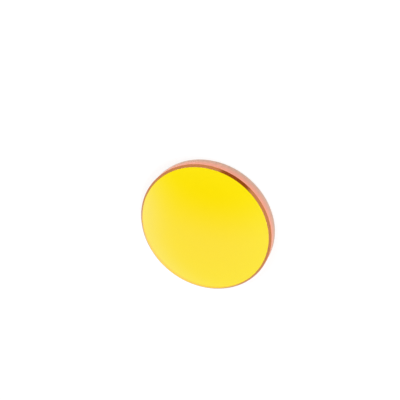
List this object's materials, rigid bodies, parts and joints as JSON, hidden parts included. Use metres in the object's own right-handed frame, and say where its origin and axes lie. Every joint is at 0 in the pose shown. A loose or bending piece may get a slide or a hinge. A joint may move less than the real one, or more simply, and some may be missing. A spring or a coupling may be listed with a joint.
{
  "type": "laser focus lens",
  "caption": "Plano-convex zinc selenide lens that focuses a carbon dioxide laser beam, with coated yellow faces, chamfered rims and a fine-ground edge.",
  "frame": {"origin": "centre of the flat face, on the optical axis", "axes": "+Z along the optical axis, from the flat face towards the convex face"},
  "size_m": [0.025, 0.025, 0.0039],
  "materials": {
    "zinc_selenide": "clear yellow crystal, coated polished faces, satin chamfers, fine-ground salmon-pink edge"
  },
  "bodies": {
    "root": {"lens": "zinc_selenide"}
  },
  "joints": []
}
